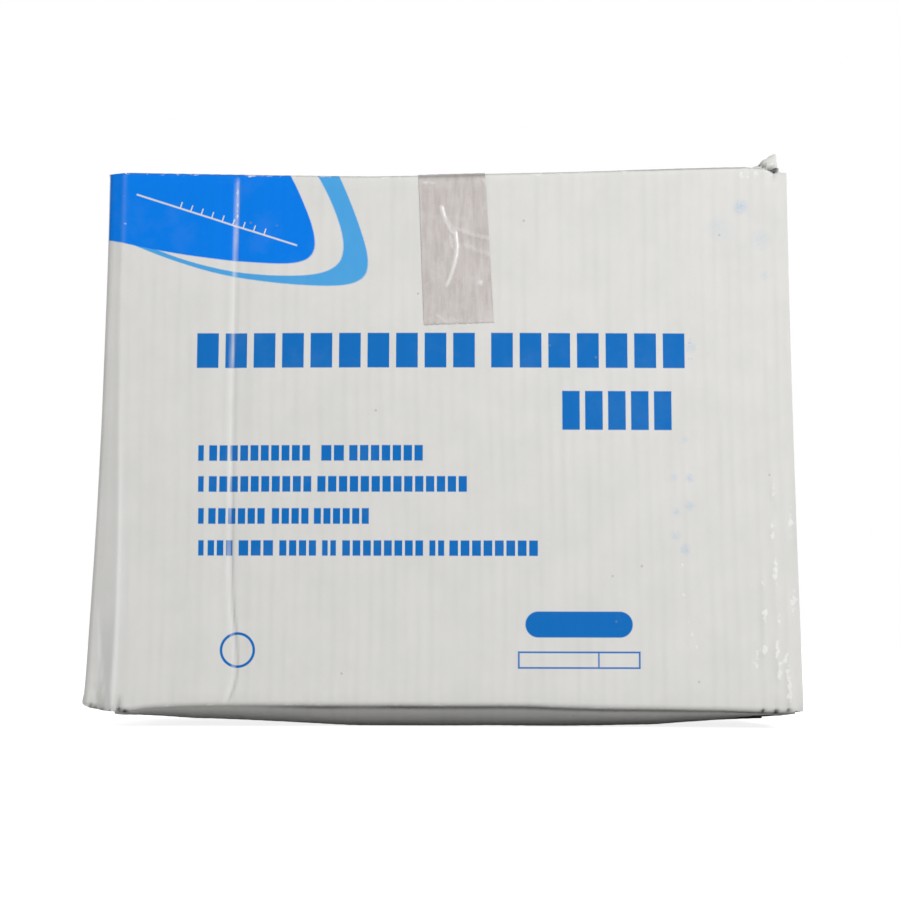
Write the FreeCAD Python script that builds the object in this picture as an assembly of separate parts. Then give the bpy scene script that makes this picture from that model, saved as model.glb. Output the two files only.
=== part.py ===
"""A closed corrugated carton with a strip of packing tape over its top edge.

The frame is in millimetres, +Z up, with the front wall facing -Y and the length along X. The origin is the
bottom centre of the whole, on the surface that the sagging bottom flaps stand on.
"""

import FreeCAD, Part
import math
import os

Vector = FreeCAD.Vector

# Board
board = 3.0  # thickness of the corrugated board
fold_inner = 0.6  # inside radius of a fold
ply_gap = 0.3  # air between an inner flap and the outer flaps over it

# Carton, outside
length = 370.0  # end wall to end wall at the top
depth = 120.0  # front wall to back wall
wall_height = 289.0  # front wall, from its bottom fold to its top fold
sag = 11.2  # how far the bottom flaps hang below the bottom folds

# Flaps
seam_gap = 2.0  # between the free edges of two outer flaps
flap_end_gap = 4.6  # from an outer flap's end to the corner that it stops short of
side_gap = 2.0  # from an inner flap's side to the wall beside it
rest_half = 46.0  # half the length of the flat area that the carton stands on
rest_reach = 28.0  # how far that area reaches from the seam towards each wall
post_end = 0.8  # how far a corner stops short of the fold line, in the slot between two flaps
fold_land = 3.4  # upright board between a wall and its fold
score = 0.2  # depth of the crushed score line under each fold

# Maker's joint, at the right front corner
tab_width = 34.0  # tab glued behind the front wall
joint_step = 1.0  # how far the front wall's raw edge stops short of the end wall's face

# Bulge and damage
front_crown = 3.2  # how far the front wall bulges at its middle
back_crown = 3.2  # the same at the back
end_crown = 1.6  # the same at both ends
splay_left = 9.5  # how far the left front corner spreads at its foot, before it is rounded
splay_rounding = 1.0  # how much of that the rounding takes away
splay_right = 4.0  # how far the right end wall spreads at its foot
splay_curve_left = 2.2  # 1 spreads evenly from the top down, and more spreads mostly at the foot
splay_curve_right = 1.7
strip_top = 9.0  # width of the bent-back strip along the left front edge, at the top
strip_foot = 17.0  # the same at the foot
strip_back_top = 3.5  # how far the strip's outer edge lies behind the front wall, at the top
strip_back_foot = 7.5  # the same at the foot
pinch = 2.4  # depth of the dent that splits the strip at its foot
crease_place = 115.2  # from the middle of the carton to the upright crease, to the left
crease_depth = 0.9  # how far the crease lies in
strip_bend = 2.2  # inside radius of the two bends along the strip
top_dip = 2.3  # sag of the top front fold, left of the middle
dip_place = 42.0  # how far left of the middle it lies
top_rise = 2.8  # rise of the top front fold near its right end
ear_height = 9.3  # height of the crumpled right end of the top front flap
ear_back = 9.0  # how far behind the front wall its ridge lies
ear_length = 19.0  # how much of the flap's end is crumpled
ear_tail = 3.0  # height that is left at the flap's free edge

# Tape
tape_width = 37.5
tape_thickness = 0.25
tape_gap = 0.15  # air under the tape
tape_drop = 85.5  # length of the tape on the front wall
tape_drop_back = 74.0  # the same on the back wall
tape_place = 4.0  # middle of the tape at the top front fold, along the length
tape_drift = 0.056  # sideways drift of the slanted strip for each millimetre of its length
tooth_pitch = 3.0  # serrated ends
tooth_depth = 1.3

# Worked out from the sizes above
fold_outer = board + fold_inner
shift = (splay_left - splay_rounding - splay_right) / 2  # puts the whole box's middle at x = 0
left = shift - length / 2
right = shift + length / 2
front = -depth / 2
back = depth / 2
bottom_fold = sag
top_fold = sag + wall_height
outer_cut_low = bottom_fold + fold_outer + fold_land  # where the walls end and the outer folds start
outer_cut_high = top_fold - fold_outer - fold_land
inner_drop = board + ply_gap  # the inner flaps fold this much further in
inner_cut_low = outer_cut_low + inner_drop
inner_cut_high = outer_cut_high - inner_drop
flap_reach = depth / 2 - seam_gap / 2 - score  # all flaps are cut to one length
crease_x = shift - crease_place
dip_x = shift - dip_place
far = length + depth  # longer than anything here


def blend(a, b, t):
    return a + (b - a) * t


def ramp(t):
    """0 below 0, 1 above 1, and a smooth climb between."""
    t = min(1.0, max(0.0, t))
    return t * t * (3 - 2 * t)


def hump(u):
    """1 in the middle, 0 from u = 1 on, with no kink at either."""
    return max(0.0, 1 - u * u) ** 2


def arc(start, middle, end):
    return Part.Arc(start, middle, end).toShape()


def rounding(before, corner, after, radius):
    """The start, middle and end of a rounded corner between two straight sides."""
    one = (before - corner).normalize()
    two = (after - corner).normalize()
    half = one.getAngle(two) / 2
    reach = radius / math.tan(half)
    centre = corner + (one + two).normalize() * (radius / math.sin(half))
    middle = centre + (corner - centre).normalize() * radius
    return corner + one * reach, middle, corner + two * reach


def curve_through(points):
    curve = Part.BSplineCurve()
    curve.interpolate(Points=points)
    return curve.toShape()


def crowned(start, end, crown):
    """An edge that swells by the crown to the right of its way."""
    along = end - start
    out = Vector(along.y, -along.x, 0).normalize()
    steps = 6
    points = [start + along * (i / steps) + out * crown * hump(2 * i / steps - 1) for i in range(steps + 1)]
    return curve_through(points)


class Level:
    """Where the walls' faces lie at one height."""

    def __init__(self, z):
        up = (z - bottom_fold) / wall_height  # 0 at the foot, 1 at the top
        middle = (outer_cut_low + outer_cut_high) / 2
        self.z = z
        self.swell = hump((z - middle) / (outer_cut_high - middle))
        self.left = left - splay_left * (1 - up) ** splay_curve_left
        self.right = right + splay_right * (1 - up) ** splay_curve_right
        self.strip = blend(strip_foot, strip_top, ramp(up / 0.8))
        self.strip_back = blend(strip_back_foot, strip_back_top, ramp(up / 0.8))
        self.pinch = pinch * (1 - ramp(up / 0.22))
        self.crease = crease_depth * ramp(up / 0.1) * ramp((1 - up) / 0.1)

    def point(self, x, y):
        return Vector(x, y, self.z)

    def on_front(self, x, inset):
        """A point of the front wall, which bulges and is creased."""
        bulge = front_crown * self.swell * hump((x - shift) / (length / 2))
        creased = self.crease * max(0.0, 1 - abs(x - crease_x) / 12)
        return self.point(x, front - bulge + creased + inset)

    def front_edges(self, start, end, inset):
        """The front wall in two edges that meet at the crease."""
        near = [self.on_front(blend(start.x, crease_x, t), inset) for t in (0.3, 0.6, 0.8, 1)]
        away = [self.on_front(blend(crease_x, end.x, t), inset) for t in (0, 0.04, 0.12, 0.3, 0.5, 0.7, 0.85)]
        return [curve_through([start] + near), curve_through(away + [end])]


def wall_corners(at, inset):
    """The sharp corners of the strip and the end walls, and the radius of a fold, at an inset."""
    strip_slope = at.strip_back / at.strip
    strip_x = at.left + at.strip + inset * strip_slope / 2
    start = at.on_front(strip_x, inset)
    edge = at.point(at.left + inset, front + at.strip_back + inset * (1 - strip_slope / 2))
    way = edge - start
    inward = Vector(way.y, -way.x, 0).normalize()
    dent = start + way * 0.55 + inward * at.pinch
    back_left = at.point(left + inset, back - inset)
    back_right = at.point(at.right - inset, back - inset)
    return start, dent, edge, back_left, back_right, fold_outer - inset


def around(at, inset, front_end, corner_part, turn_end):
    """The whole outline: the front, the right front corner, then round the back and the strip."""
    start, dent, edge, back_left, back_right, radius = wall_corners(at, inset)
    bend = strip_bend + board - inset
    right_bend = rounding(turn_end, back_right, back_left, radius)
    left_bend = rounding(back_right, back_left, edge, radius)
    edge_bend = rounding(back_left, edge, dent, bend)
    start_bend = rounding(dent, start, start + Vector(length, 0, 0), bend)
    return Part.Wire(
        at.front_edges(start_bend[2], front_end, inset)
        + corner_part
        + [
            crowned(turn_end, right_bend[0], end_crown * at.swell),
            arc(*right_bend),
            crowned(right_bend[2], left_bend[0], back_crown * at.swell),
            arc(*left_bend),
            crowned(left_bend[2], edge_bend[0], end_crown * at.swell),
            arc(*edge_bend),
            Part.makeLine(edge_bend[2], dent),
            Part.makeLine(dent, start_bend[0]),
            arc(*start_bend),
        ]
    )


def outside_outline(z, inset=0.0):
    """The walls' outside: the right end wall folds in behind the front wall's raw edge."""
    at = Level(z)
    radius = fold_outer - inset
    face_x = at.right - inset
    raw_x = face_x - joint_step
    centre = at.point(face_x - radius, front + board + fold_outer)
    step_angle = math.acos((radius - joint_step) / radius)

    def on_fold(angle):
        return centre + Vector(radius * math.cos(angle), -radius * math.sin(angle), 0)

    raw_out = at.on_front(raw_x, inset)
    raw_in = on_fold(step_angle)
    turn = arc(raw_in, on_fold(step_angle / 2), on_fold(0))
    return around(at, inset, raw_out, [Part.makeLine(raw_out, raw_in), turn], on_fold(0))


def inside_outline(z):
    """The walls' inside, with the tab that is glued behind the front wall."""
    at = Level(z)
    tab_out = at.on_front(at.right - tab_width, board)
    tab_in = tab_out + Vector(0, board, 0)
    corner = at.point(at.right - board, front + 2 * board)
    turn = rounding(tab_in, corner, at.point(corner.x, back), fold_inner)
    tab = [Part.makeLine(tab_out, tab_in), Part.makeLine(tab_in, turn[0]), arc(*turn)]
    return around(at, board, tab_out, tab, turn[2])


def wall_heights():
    """Heights of the walls' sections, closer together at the foot and at the top."""
    shares = (0, 0.08, 0.2, 0.36, 0.52, 0.68, 0.84, 0.93, 1)
    between = [blend(outer_cut_low, outer_cut_high, share) for share in shares]
    return [bottom_fold + post_end] + between + [top_fold - post_end]


def box(low, high):
    size = [b - a for a, b in zip(low, high)]
    return Part.makeBox(*size, Vector(*low))


def walls():
    """The four walls as one tube of board, cut down where the flaps fold."""
    heights = wall_heights()
    outside = Part.makeLoft([outside_outline(z) for z in heights], True, False)
    inside = Part.makeLoft([inside_outline(z) for z in heights], True, False)
    tube = outside.cut(inside)
    return tube.cut(fold_windows())


def fold_windows():
    """What the walls lose at each fold. Only the corners beside the slots reach the fold lines."""
    thick = 2 * board + side_gap
    windows = []
    for cut, end, foot in ((outer_cut_high, far, False), (outer_cut_low, -far, True)):
        z0, z1 = sorted((cut, end))
        x0, x1 = front_flap_span(foot)
        windows.append(box((x0, -far, z0), (x1, front + thick, z1)))
        x0, x1 = back_flap_span()
        windows.append(box((x0, back - thick, z0), (x1, far, z1)))
    for cut, end, foot in ((inner_cut_high, far, False), (inner_cut_low, -far, True)):
        z0, z1 = sorted((cut, end))
        y0, y1 = inner_flap_span(foot, True)
        windows.append(box((-far, y0, z0), (left + thick, y1, z1)))
        y0, y1 = inner_flap_span(foot, False)
        windows.append(box((right - thick, y0, z0), (far, y1, z1)))
    return windows


def front_flap_span(foot):
    at = Level(bottom_fold if foot else top_fold)
    return at.left + at.strip, at.right - flap_end_gap


def back_flap_span():
    return left + flap_end_gap + fold_outer, right - flap_end_gap - fold_outer


def inner_flap_span(foot, at_left):
    """From side to side of an inner flap. The strip takes some of its width at the left."""
    at = Level(bottom_fold if foot else top_fold)
    clear = max(board, at.strip_back) if at_left else 2 * board
    return front + clear + side_gap, back - fold_outer - side_gap


def board_strip(land, path, origin, inward, outward):
    """Outline of a wall's upright end, its fold and its flap, stood on a point of the wall's cut end.

    The path holds the flap's next two points: how far inward from the wall's face, and how far out from the
    fold line.
    """

    def at(across, out):
        return origin + inward * across + outward * out

    level = land + fold_outer
    diagonal = math.sqrt(0.5)
    (ridge_across, ridge_out), (free_across, free_out) = path
    first = math.atan2(ridge_out, ridge_across - fold_outer)
    second = math.atan2(free_out - ridge_out, free_across - ridge_across)
    lean = (first + second) / 2
    miter = board / math.cos((first - second) / 2)
    ridge_in = at(ridge_across + miter * math.sin(lean), level + ridge_out - miter * math.cos(lean))
    free_in = at(free_across + board * math.sin(second), level + free_out - board * math.cos(second))
    around_fold = [
        at(fold_outer * (1 - diagonal), land + fold_outer * diagonal),
        at(fold_outer - fold_inner * diagonal, land + fold_inner * diagonal),
    ]
    corners = [
        at(0, 0),
        at(0, land),
        at(fold_outer, level),
        at(ridge_across, level + ridge_out),
        at(free_across, level + free_out),
        free_in,
        ridge_in,
        at(fold_outer, land + fold_inner),
        at(board, land),
        at(board, 0),
    ]
    edges = [Part.makeLine(a, b) for a, b in zip(corners, corners[1:] + corners[:1])]
    edges[1] = arc(corners[1], around_fold[0], corners[2])
    edges[7] = arc(corners[7], around_fold[1], corners[8])
    return Part.Wire(edges)


def flap(stations, origin_at, inward, outward):
    """The pieces of one flap, each straight between two stations.

    A station holds a place along the fold, the land under the fold there, and the flap's path.
    """
    pieces = []
    for one, two in zip(stations, stations[1:]):
        wires = []
        for place, land, path in (one, two):
            wires.append(board_strip(land, path, origin_at(place) + inward * score, inward, outward))
        if one[1:] == two[1:]:
            pieces.append(Part.Face(wires[0]).extrude(origin_at(two[0]) - origin_at(one[0])))
        else:
            pieces.append(Part.makeLoft(wires, True, True))
    return pieces


def level_path(end=0.0):
    """A flat flap, whose free edge lies out from the fold line by the end value."""
    middle = (fold_outer + flap_reach) / 2
    return (middle, end / 2), (flap_reach, end)


def top_land(x):
    """Upright board under the top front fold, which dips left of the middle and rises to the right."""
    rise_x = right - flap_end_gap - ear_length
    flat_x = blend(dip_x, rise_x, 0.5)
    places = (left, dip_x, flat_x, rise_x, right)
    heights = (0.0, -top_dip, 0.0, top_rise, top_rise / 2)
    for i in range(4):
        if x <= places[i + 1]:
            t = (x - places[i]) / (places[i + 1] - places[i])
            return fold_land + blend(heights[i], heights[i + 1], t)
    return fold_land


def top_front_flap():
    start, end = front_flap_span(False)
    rise_x = end - ear_length
    places = [start, dip_x, blend(dip_x, right - flap_end_gap - ear_length, 0.5), rise_x - 22, rise_x]
    stations = [(x, top_land(x), level_path(fold_land - top_land(x))) for x in places]
    crumpled = ((0.45, 0.55, 0.8), (0.93, 1.0, 1.0), (1.0, 0.86, 0.7))
    for share, height, tail in crumpled:
        x = rise_x + ear_length * share
        path = ((ear_back, ear_height * height * share ** 0.7), (flap_reach, ear_tail * tail * share))
        stations.append((x, top_land(x), path))
    return flap(stations, lambda x: Vector(x, front, outer_cut_high), Vector(0, 1, 0), Vector(0, 0, 1))


def top_back_flap():
    stations = [(x, fold_land, level_path()) for x in back_flap_span()]
    return flap(stations, lambda x: Vector(x, back, outer_cut_high), Vector(0, -1, 0), Vector(0, 0, 1))


def hanging_path(share):
    """A bottom flap slopes down from its fold and then lies flat up to its free edge."""
    return (flap_reach - rest_reach, sag * share), (flap_reach, sag * share)


def bottom_front_flap():
    start, end = front_flap_span(True)
    hang = (
        (start, 0.36),
        (blend(start, -rest_half, 0.32), 0.62),
        (blend(start, -rest_half, 0.6), 0.79),
        (-rest_half, 1.0),
        (rest_half, 1.0),
        (blend(rest_half, end, 0.35), 0.68),
        (blend(rest_half, end, 0.53), 0.54),
        (blend(rest_half, end, 0.64), 0.34),
        (blend(rest_half, end, 0.8), 0.13),
        (end, 0.05),
    )
    stations = [(x, fold_land, hanging_path(share)) for x, share in hang]
    return flap(stations, lambda x: Vector(x, front, outer_cut_low), Vector(0, 1, 0), Vector(0, 0, -1))


def bottom_back_flap():
    start, end = back_flap_span()
    hang = ((start, 0.3), (-rest_half, 1.0), (rest_half, 1.0), (blend(rest_half, end, 0.4), 0.68), (end, 0.42))
    stations = [(x, fold_land, hanging_path(share)) for x, share in hang]
    return flap(stations, lambda x: Vector(x, back, outer_cut_low), Vector(0, -1, 0), Vector(0, 0, -1))


def inner_flap(foot, at_left):
    """One of the four flaps on the end walls, folded in under the outer flaps."""
    y0, y1 = inner_flap_span(foot, at_left)
    cut = inner_cut_low if foot else inner_cut_high
    at = Level(cut)
    edge_y = front + at.strip_back

    def origin_at(y):
        if not at_left:
            return Vector(at.right, y, cut)
        t = (y - edge_y) / (back - edge_y)
        return Vector(blend(at.left, left, t), y, cut)

    stations = [(y, fold_land, level_path()) for y in (y0, y1)]
    inward = Vector(1 if at_left else -1, 0, 0)
    return flap(stations, origin_at, inward, Vector(0, 0, -1 if foot else 1))


def carton():
    """One folded blank: walls, outer flaps and inner flaps."""
    flaps = top_front_flap() + top_back_flap() + bottom_front_flap() + bottom_back_flap()
    for foot in (False, True):
        for at_left in (False, True):
            flaps += inner_flap(foot, at_left)
    return walls().multiFuse(flaps).removeSplitter()


def toothed(points, tip, pitch, tooth):
    """A closed outline whose lowest side, between its last and first points, is serrated."""
    start, end = points[-1], points[0]
    count = max(2, round((end - start).Length / pitch))
    for i in range(1, 2 * count):
        points.append(start + (end - start) * (i / (2 * count)) + tip * (tooth * (i % 2)))
    return Part.Face(Part.makePolygon(points + [points[0]]))


def tape_wall(face_y, drop, slide, middle):
    """A block in the tape's slanted outline on one wall, to cut it from a thin skin over the walls."""
    half = tape_width / 2
    low = top_fold - drop
    high = outer_cut_high
    corners = [
        Vector(middle + slide - half, face_y, low),
        Vector(middle - half, face_y, high),
        Vector(middle + half, face_y, high),
        Vector(middle + slide + half, face_y, low),
    ]
    outline = toothed(corners, Vector(0, 0, 1), tooth_pitch, tooth_depth)
    return outline.extrude(Vector(0, -face_y, 0))


def tape_skin():
    """A thin skin over the walls' outside."""
    heights = wall_heights()
    outer = Part.makeLoft([outside_outline(z, -tape_gap - tape_thickness) for z in heights], True, False)
    inner = Part.makeLoft([outside_outline(z, -tape_gap) for z in heights], True, False)
    return outer.cut(inner)


def tape_over_outline(x):
    """The tape over the top, from one wall's cut end to the other's, in a plane across the carton."""
    rise = top_land(x)
    level = outer_cut_high

    def path(gap):
        radius = fold_outer + gap
        slant = radius * math.sqrt(0.5)
        low = level + rise
        high = level + fold_land
        return [
            Vector(x, front - gap, level),
            Vector(x, front - gap, low),
            Vector(x, front + fold_outer - slant, low + slant),
            Vector(x, front + fold_outer, low + radius),
            Vector(x, front + flap_reach, high + radius),
            Vector(x, back - fold_outer, high + radius),
            Vector(x, back - fold_outer + slant, high + slant),
            Vector(x, back + gap, high),
            Vector(x, back + gap, level),
        ]

    def edges(p):
        return [
            Part.makeLine(p[0], p[1]),
            arc(p[1], p[2], p[3]),
            Part.makeLine(p[3], p[4]),
            Part.makeLine(p[4], p[5]),
            arc(p[5], p[6], p[7]),
            Part.makeLine(p[7], p[8]),
        ]

    outer = path(tape_gap + tape_thickness)
    inner = path(tape_gap)
    inner_edges = edges(inner)
    inner_edges.reverse()
    ends = [Part.makeLine(outer[-1], inner[-1]), Part.makeLine(inner[0], outer[0])]
    return Part.Wire(edges(outer) + ends[:1] + inner_edges + ends[1:])


def tape_over():
    """The tape over the two folds and the flap seam, drifting on along its slanted line."""
    half = tape_width / 2
    drift = -tape_drift * depth
    reach = tape_width / 2 + abs(drift) + tape_width
    whole = Part.makeLoft(
        [tape_over_outline(tape_place - reach), tape_over_outline(tape_place + reach)], True, True
    )
    front_turn = front + fold_outer
    back_turn = back - fold_outer
    corners = [
        Vector(tape_place - half, -far, 0),
        Vector(tape_place + half, -far, 0),
        Vector(tape_place + half, front_turn, 0),
        Vector(tape_place + drift + half, back_turn, 0),
        Vector(tape_place + drift + half, far, 0),
        Vector(tape_place + drift - half, far, 0),
        Vector(tape_place + drift - half, back_turn, 0),
        Vector(tape_place - half, front_turn, 0),
    ]
    outline = Part.Face(Part.makePolygon(corners + [corners[0]]))
    return whole.common(outline.extrude(Vector(0, 0, far)))


def closing_tape():
    skin = tape_skin()
    drift = -tape_drift * depth
    front_slide = tape_drift * tape_drop
    back_slide = -tape_drift * tape_drop_back
    front_piece = skin.common(tape_wall(-depth, tape_drop, front_slide, tape_place))
    back_piece = skin.common(tape_wall(depth, tape_drop_back, back_slide, tape_place + drift))
    return tape_over().multiFuse([front_piece, back_piece]).removeSplitter()


def write(name, shape):
    """Writes one solid, after checking that it is one."""
    if len(shape.Solids) != 1 or not shape.isValid():
        raise ValueError(f"{name} is not one valid solid: {len(shape.Solids)}, {shape.isValid()}")
    shape.Solids[0].exportStep(f"parts/{name}.step")
    print(name, "volume", round(shape.Volume), "box", shape.BoundBox)


def main():
    os.makedirs("parts", exist_ok=True)
    write("carton", carton())
    write("closing_tape", closing_tape())


main()
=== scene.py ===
import math

import bmesh
import bpy
from mathutils import Euler, Matrix, Vector, noise


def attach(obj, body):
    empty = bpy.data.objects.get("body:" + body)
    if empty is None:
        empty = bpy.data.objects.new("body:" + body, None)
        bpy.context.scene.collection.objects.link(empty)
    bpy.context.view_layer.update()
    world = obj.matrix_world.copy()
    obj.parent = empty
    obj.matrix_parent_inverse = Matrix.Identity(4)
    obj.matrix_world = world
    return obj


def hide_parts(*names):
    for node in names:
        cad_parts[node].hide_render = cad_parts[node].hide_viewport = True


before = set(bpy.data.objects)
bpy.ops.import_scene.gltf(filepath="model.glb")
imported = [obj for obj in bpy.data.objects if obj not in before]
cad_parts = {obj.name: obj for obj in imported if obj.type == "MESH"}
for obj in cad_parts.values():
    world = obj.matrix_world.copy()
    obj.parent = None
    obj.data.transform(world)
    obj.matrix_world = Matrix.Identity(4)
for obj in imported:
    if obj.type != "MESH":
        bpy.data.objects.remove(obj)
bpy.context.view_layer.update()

bl_info = {
    "name": "Worn corrugated carton",
    "version": (1, 0, 0),
    "blender": (4, 5, 0),
    "location": "View3D > Sidebar > Carton",
    "description": "Dresses a packed carton with fluted board, print, wear and tape, and lights it",
    "category": "Add Mesh",
}

# Lengths in the code are in millimetres, in the part's own frame, and the scene is in metres
MM = 0.001

# Board and folds
BOARD = 3.0
FOLD = 3.6  # outside radius of a fold
LAND = 3.4  # upright board between a wall's cut end and its fold
SCORE = 0.2  # how far the flaps are set in by the crushed score line
PLY_DROP = 3.3  # the end walls' flaps fold this much further in
POST_END = 0.8  # how far a corner stops short of the fold line
STRIP_BEND = 5.2  # outside radius of the bends along the strip

# Carton
FRONT = -60.0
BACK = 60.0
LEFT = -182.75
RIGHT = 187.25
FOOT = 11.2  # the bottom fold line
WALL_HEIGHT = 289.0
TOP = FOOT + WALL_HEIGHT
SHIFT = (LEFT + RIGHT) / 2
HALF_LENGTH = (RIGHT - LEFT) / 2
CROWN = 3.2  # bulge of the front and back walls
END_CROWN = 1.6
SPLAY_LEFT = 9.5
SPLAY_RIGHT = 4.0
FLAP_REACH = 58.8
FLAP_END_GAP = 4.6
SIDE_GAP = 2.0
JOINT_STEP = 1.0
TAB = 34.0
TAB_GAP = 0.1
CUT = FOLD + LAND  # from a fold line to the wall's cut end

# Bent strip at the left of the front: its width and its depth, at the foot and at the top
STRIP_WIDTH = (17.0, 9.0)
STRIP_BACK = (7.5, 3.5)
PINCH_DEPTH = 2.4

# Damage
CREASE_X = SHIFT - 115.2
CREASE_DEPTH = 0.9
CREASE_HALF = 12.0
CURL_IN = 1.6  # how far a corner's crushed foot curls in
DIP_X = SHIFT - 42.0
EAR_LENGTH = 19.0
EAR_START = RIGHT - FLAP_END_GAP - EAR_LENGTH
REST_HALF = 46.0
REST_REACH = 28.0

# Tape
TAPE_PLACE = 4.0
TAPE_DRIFT = 0.056
TAPE_TUCK = 1.4  # how far its left edge is drawn in at the fold
TAPE_CLEAR = 0.15
TOOTH_PITCH = 3.0
BUBBLE = (20.0, 237.9)

# Paper
MEDIUM_WAVE = 1.12  # half the height of the waved medium
PAPER_IOR = 1.45


def blend(a, b, t):
    return a + (b - a) * t


def ramp(t):
    """0 below 0, 1 above 1, and a smooth climb between."""
    t = min(1.0, max(0.0, t))
    return t * t * (3 - 2 * t)


def hump(u):
    """1 in the middle, 0 from u = 1 on, with no kink at either."""
    return max(0.0, 1 - u * u) ** 2


def bell(distance, width):
    return math.exp(-((distance / width) ** 2))


def between(stations, x):
    """Straight between stations, each a place and its value."""
    if x <= stations[0][0]:
        return stations[0][1]
    for (x0, v0), (x1, v1) in zip(stations, stations[1:]):
        if x <= x1:
            return blend(v0, v1, (x - x0) / (x1 - x0))
    return stations[-1][1]


def softened(stations, x, reach):
    """The same with its kinks rounded off over the reach."""
    shares = ((-reach, 0.25), (0.0, 0.5), (reach, 0.25))
    return sum(between(stations, x + step) * share for step, share in shares)


def wavy(x, z, scale, seed):
    return noise.noise(Vector((x / scale, z / scale, seed)))


def size(name):
    """One of the sizes that a user may change, in millimetres."""
    return getattr(bpy.context.scene.carton_sizes, name) / MM


class Level:
    """Where the walls' faces lie at one height above the bottom fold line."""

    def __init__(self, v):
        up = v / WALL_HEIGHT
        self.swell = hump((v - WALL_HEIGHT / 2) / (WALL_HEIGHT / 2 - CUT))
        self.left = LEFT - SPLAY_LEFT * (1 - up) ** 2.2
        self.right = RIGHT + SPLAY_RIGHT * (1 - up) ** 1.7
        self.strip = blend(*STRIP_WIDTH, ramp(up / 0.8))
        self.strip_back = blend(*STRIP_BACK, ramp(up / 0.8))
        self.pinch = PINCH_DEPTH * (1 - ramp(up / 0.22))
        self.crease = CREASE_DEPTH * ramp(up / 0.1) * ramp((1 - up) / 0.1)
        self.start = Vector((self.left + self.strip, self.on_front(self.left + self.strip)))
        self.edge = Vector((self.left, FRONT + self.strip_back))
        way = self.edge - self.start
        self.dent = self.start + way * 0.55 + Vector((way.y, -way.x)).normalized() * self.pinch
        self.behind = Vector((LEFT, BACK))
        self.beside = self.start + Vector((100.0, 0.0))
        self.face_start = self.start.x + bend_reach(self.dent, self.start, self.beside)
        self.face_end = self.right - JOINT_STEP

    def on_front(self, x):
        bulge = CROWN * self.swell * hump((x - SHIFT) / HALF_LENGTH)
        return FRONT - bulge + self.crease * max(0.0, 1 - abs(x - CREASE_X) / CREASE_HALF)


LEVELS = {}


def level_at(v):
    """The level at a height, kept, because each one is asked for hundreds of times."""
    key = round(v, 4)
    if key not in LEVELS:
        LEVELS[key] = Level(v)
    return LEVELS[key]


def bend_reach(before, corner, after):
    half = (before - corner).angle(after - corner) / 2
    return STRIP_BEND / math.tan(half)


def turned(before, corner, after, radius, t):
    """A point of a rounded corner, and its outward normal."""
    one = (before - corner).normalized()
    two = (after - corner).normalized()
    half = one.angle(two) / 2
    centre = corner + (one + two).normalized() * (radius / math.sin(half))
    reach = radius / math.tan(half)
    start = (corner + one * reach - centre).normalized()
    end = (corner + two * reach - centre).normalized()
    normal = (start * (1 - t) + end * t).normalized()
    return centre + normal * radius, normal


def straight(start, end, t):
    along = (end - start).normalized()
    return start + (end - start) * t, Vector((along.y, -along.x))


def crowned(start, end, crown, t):
    point, out = straight(start, end, t)
    return point + out * crown * hump(2 * t - 1), out


def outline_point(at, part, t):
    """A point of the walls' outline, which runs from the tab round the back to the front's raw edge."""
    back_right = Vector((at.right, BACK))
    behind_edge = FRONT + BOARD + TAB_GAP + FOLD
    turn = Vector((at.right, behind_edge))
    if part == "tab":
        x = blend(at.right - TAB, at.right - FOLD, t)
        return Vector((x, at.on_front(x) + BOARD + TAB_GAP)), Vector((0.0, -1.0))
    if part == "joint fold":
        angle = math.radians(90) * (1 - t)
        normal = Vector((math.cos(angle), -math.sin(angle)))
        return Vector((at.right - FOLD, behind_edge)) + normal * FOLD, normal
    if part == "right end":
        return crowned(turn, back_right - Vector((0.0, FOLD)), END_CROWN * at.swell, t)
    if part == "right bend":
        return turned(turn, back_right, at.behind, FOLD, t)
    if part == "back":
        start = back_right - Vector((FOLD, 0.0))
        return crowned(start, at.behind + Vector((FOLD, 0.0)), CROWN * at.swell, t)
    if part == "left bend":
        return turned(back_right, at.behind, at.edge, FOLD, t)
    edge_reach = bend_reach(at.behind, at.edge, at.dent)
    if part == "left end":
        along = (at.edge - at.behind).normalized()
        return crowned(at.behind + along * FOLD, at.edge - along * edge_reach, END_CROWN * at.swell, t)
    if part == "edge bend":
        return turned(at.behind, at.edge, at.dent, STRIP_BEND, t)
    if part == "outer facet":
        way = (at.dent - at.edge).normalized()
        return straight(at.edge + way * edge_reach, at.dent, t)
    if part == "inner facet":
        way = (at.start - at.dent).normalized()
        return straight(at.dent, at.start - way * bend_reach(at.dent, at.start, at.beside), t)
    if part == "start bend":
        return turned(at.dent, at.start, at.beside, STRIP_BEND, t)
    x = blend(at.face_start, at.face_end, t)
    return Vector((x, at.on_front(x))), Vector((0.0, -1.0))


def top_rise(x):
    """How far the top front fold lies above its line: it dips left of the middle and rises at the right."""
    middle = blend(DIP_X, EAR_START, 0.5)
    return softened(((LEFT, 0.0), (DIP_X, -2.3), (middle, 0.0), (EAR_START, 2.8), (RIGHT, 1.4)), x, 8.0)


def ear(x):
    """Height of the crumpled end of the top front flap, at its ridge and at its free edge."""
    share = (x - EAR_START) / EAR_LENGTH
    ridge = softened(((0.0, 0.0), (0.2, 0.5), (0.5, 4.4), (0.95, 10.4), (1.0, 9.6)), share, 0.04)
    tail = between(((0.0, 0.0), (0.45, 1.1), (0.93, 2.8), (1.0, 2.1)), share)
    return ridge, tail


def at_front(y):
    """1 at the front wall, and less and less behind it."""
    return 1 - ramp((y - FRONT - 5) / 6)


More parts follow.
